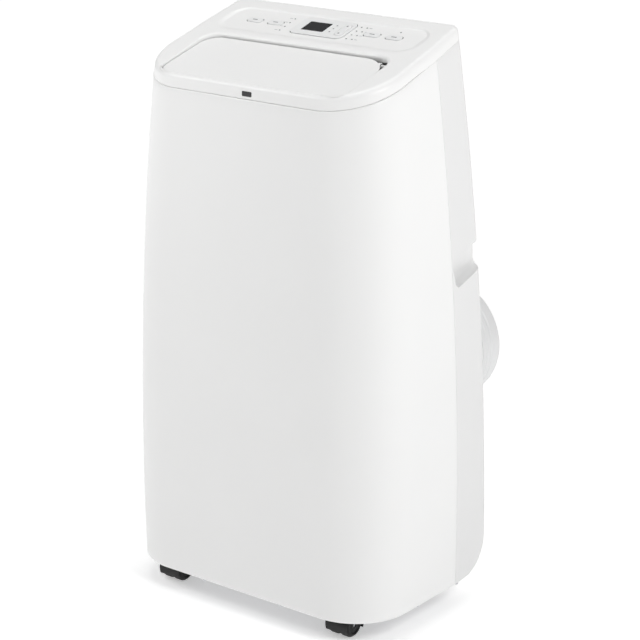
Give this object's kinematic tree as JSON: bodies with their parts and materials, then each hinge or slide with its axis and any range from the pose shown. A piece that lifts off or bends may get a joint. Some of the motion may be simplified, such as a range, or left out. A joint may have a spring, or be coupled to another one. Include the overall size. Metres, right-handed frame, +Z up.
{
  "type": "portable air conditioner",
  "caption": "Free-standing portable air conditioner on casters, with a louver flap over its top outlet, a sloped control deck, rear intake grilles and an exhaust hose collar.",
  "frame": {"origin": "on the floor, under the middle of the bounding box", "axes": "+X to the right seen from the front, +Y to the rear, +Z up"},
  "size_m": [0.388, 0.2837, 0.7],
  "materials": {
    "shell": "fine satin moulded plastic",
    "trim": "smooth satin",
    "collar": "satin moulded plastic",
    "window": "gloss black",
    "light": "clear light pipe",
    "caster": "moulded black nylon",
    "wheel": "black nylon tread",
    "steel": "zinc plated",
    "motor": "galvanised can",
    "pan": "grey polypropylene",
    "inner_white": "plain moulded plastic",
    "vane": "satin",
    "net": "fine nylon net",
    "blower": "moulded plastic",
    "coil": "thin bare fins",
    "compressor": "black enamel",
    "rubber": "matt rubber",
    "copper": "drawn copper tube",
    "board": "solder mask",
    "box": "plain",
    "capacitor": "drawn can"
  },
  "bodies": {
    "cabinet": {"front_shell": "shell", "rear_cover": "shell", "grip_cups": "shell", "top_cover": "shell", "base_pan": "pan", "shell_screws": "steel", "flap_motor": "motor", "display_bezel": "trim", "display_window": "window", "indicator_lights": "light", "control_board": "board", "ir_window": "window", "exhaust_duct": "inner_white", "outlet_duct": "inner_white", "evaporator_coil": "coil", "evaporator_scroll": "inner_white", "evaporator_motor": "motor", "condenser_coil": "coil", "condenser_scroll": "inner_white", "condenser_motor": "motor", "compressor": "compressor", "compressor_grommets": "rubber", "refrigerant_pipes": "copper", "partition_tray": "inner_white", "electrical_box": "box", "run_capacitor": "capacitor", "cord_gland": "rubber"},
    "flap": {"louver_flap": "shell"},
    "rocker": {"temp_rocker": "trim"},
    "swing_button": {"swing_button": "trim"},
    "speed_button": {"speed_button": "trim"},
    "mode_button": {"mode_button": "trim"},
    "power_button": {"power_button": "trim"},
    "upper_grille": {"upper_grille": "shell", "upper_filter": "net"},
    "lower_grille": {"lower_grille": "shell", "lower_filter": "net"},
    "collar": {"exhaust_collar": "collar"},
    "vane_1": {"vane_1": "vane"},
    "vane_2": {"vane_2": "vane"},
    "vane_3": {"vane_3": "vane"},
    "vane_4": {"vane_4": "vane"},
    "vane_5": {"vane_5": "vane"},
    "vane_link": {"vane_link": "vane"},
    "evaporator_fan": {"evaporator_blower": "blower"},
    "condenser_fan": {"condenser_blower": "blower"},
    "lower_plug": {"lower_drain_plug": "rubber"},
    "upper_plug": {"upper_drain_plug": "rubber"},
    "caster_front_left": {"caster_front_left": "caster"},
    "wheels_front_left": {"wheels_front_left": "wheel", "axle_front_left": "steel"},
    "caster_front_right": {"caster_front_right": "caster"},
    "wheels_front_right": {"wheels_front_right": "wheel", "axle_front_right": "steel"},
    "caster_rear_left": {"caster_rear_left": "caster"},
    "wheels_rear_left": {"wheels_rear_left": "wheel", "axle_rear_left": "steel"},
    "caster_rear_right": {"caster_rear_right": "caster"},
    "wheels_rear_right": {"wheels_rear_right": "wheel", "axle_rear_right": "steel"}
  },
  "joints": [
    {"name": "flap_hinge", "type": "hinge", "parent": "cabinet", "child": "flap", "pos_m": [0, -0.03143, 0.66071], "axis": [-1, 0, 0], "range_deg": [0, 65]},
    {"name": "vane_1_tilt", "type": "hinge", "parent": "cabinet", "child": "vane_1", "pos_m": [-0.088, -0.06867, 0.608], "axis": [0, 1, 0], "range_deg": [-30, 30]},
    {"name": "vane_2_tilt", "type": "hinge", "parent": "cabinet", "child": "vane_2", "pos_m": [-0.044, -0.06867, 0.608], "axis": [0, 1, 0], "range_deg": [-30, 30]},
    {"name": "vane_3_tilt", "type": "hinge", "parent": "cabinet", "child": "vane_3", "pos_m": [0, -0.06867, 0.608], "axis": [0, 1, 0], "range_deg": [-30, 30]},
    {"name": "vane_4_tilt", "type": "hinge", "parent": "cabinet", "child": "vane_4", "pos_m": [0.044, -0.06867, 0.608], "axis": [0, 1, 0], "range_deg": [-30, 30]},
    {"name": "vane_5_tilt", "type": "hinge", "parent": "cabinet", "child": "vane_5", "pos_m": [0.088, -0.06867, 0.608], "axis": [0, 1, 0], "range_deg": [-30, 30]},
    {"name": "vane_link_slide", "type": "slide", "parent": "cabinet", "child": "vane_link", "axis": [1, 0, 0], "range_m": [-0.00419, 0.00419]},
    {"name": "swing_button_press", "type": "slide", "parent": "cabinet", "child": "swing_button", "axis": [0, 0.2932, -0.9561], "range_m": [0, 0.001], "stiffness_N_per_m": 300},
    {"name": "speed_button_press", "type": "slide", "parent": "cabinet", "child": "speed_button", "axis": [0, 0.2932, -0.9561], "range_m": [0, 0.001], "stiffness_N_per_m": 300},
    {"name": "mode_button_press", "type": "slide", "parent": "cabinet", "child": "mode_button", "axis": [0, 0.2932, -0.9561], "range_m": [0, 0.001], "stiffness_N_per_m": 300},
    {"name": "power_button_press", "type": "slide", "parent": "cabinet", "child": "power_button", "axis": [0, 0.2932, -0.9561], "range_m": [0, 0.001], "stiffness_N_per_m": 300},
    {"name": "temp_rock", "type": "hinge", "parent": "cabinet", "child": "rocker", "pos_m": [0.0285, 0.02011, 0.68195], "axis": [1, 0, 0], "range_deg": [-3, 3], "stiffness_Nm_per_rad": 0.05},
    {"name": "upper_grille_pull", "type": "slide", "parent": "cabinet", "child": "upper_grille", "axis": [0, 0.9982, 0.0599], "range_m": [0, 0.04]},
    {"name": "lower_grille_pull", "type": "slide", "parent": "cabinet", "child": "lower_grille", "axis": [0, 0.9982, 0.0599], "range_m": [0, 0.04]},
    {"name": "collar_pull", "type": "slide", "parent": "cabinet", "child": "collar", "axis": [0, 1, 0], "range_m": [0, 0.05]},
    {"name": "lower_plug_pull", "type": "slide", "parent": "cabinet", "child": "lower_plug", "axis": [0, 1, 0], "range_m": [0, 0.03]},
    {"name": "upper_plug_pull", "type": "slide", "parent": "cabinet", "child": "upper_plug", "axis": [0, 1, 0], "range_m": [0, 0.03]},
    {"name": "swivel_front_left", "type": "hinge", "parent": "cabinet", "child": "caster_front_left", "pos_m": [-0.13, -0.098, 0], "axis": [0, 0, 1], "continuous": true},
    {"name": "roll_front_left", "type": "hinge", "parent": "caster_front_left", "child": "wheels_front_left", "pos_m": [-0.13, -0.107, 0.015], "axis": [1, 0, 0], "continuous": true},
    {"name": "swivel_front_right", "type": "hinge", "parent": "cabinet", "child": "caster_front_right", "pos_m": [0.13, -0.098, 0], "axis": [0, 0, 1], "continuous": true},
    {"name": "roll_front_right", "type": "hinge", "parent": "caster_front_right", "child": "wheels_front_right", "pos_m": [0.13, -0.107, 0.015], "axis": [1, 0, 0], "continuous": true},
    {"name": "swivel_rear_left", "type": "hinge", "parent": "cabinet", "child": "caster_rear_left", "pos_m": [-0.13, 0.024, 0], "axis": [0, 0, 1], "continuous": true},
    {"name": "roll_rear_left", "type": "hinge", "parent": "caster_rear_left", "child": "wheels_rear_left", "pos_m": [-0.13, 0.033, 0.015], "axis": [1, 0, 0], "continuous": true},
    {"name": "swivel_rear_right", "type": "hinge", "parent": "cabinet", "child": "caster_rear_right", "pos_m": [0.13, 0.024, 0], "axis": [0, 0, 1], "continuous": true},
    {"name": "roll_rear_right", "type": "hinge", "parent": "caster_rear_right", "child": "wheels_rear_right", "pos_m": [0.13, 0.033, 0.015], "axis": [1, 0, 0], "continuous": true},
    {"name": "evaporator_fan_spin", "type": "hinge", "parent": "cabinet", "child": "evaporator_fan", "pos_m": [-0.07871, 0.03414, 0.485], "axis": [0, 1, 0], "continuous": true},
    {"name": "condenser_fan_spin", "type": "hinge", "parent": "cabinet", "child": "condenser_fan", "pos_m": [0, 0.04974, 0.155], "axis": [0, 1, 0], "continuous": true}
  ],
  "couplings": [
    {"joint": "vane_1_tilt", "follows": "vane_link_slide", "rad_per_m": -125},
    {"joint": "vane_2_tilt", "follows": "vane_link_slide", "rad_per_m": -125},
    {"joint": "vane_3_tilt", "follows": "vane_link_slide", "rad_per_m": -125},
    {"joint": "vane_4_tilt", "follows": "vane_link_slide", "rad_per_m": -125},
    {"joint": "vane_5_tilt", "follows": "vane_link_slide", "rad_per_m": -125}
  ]
}
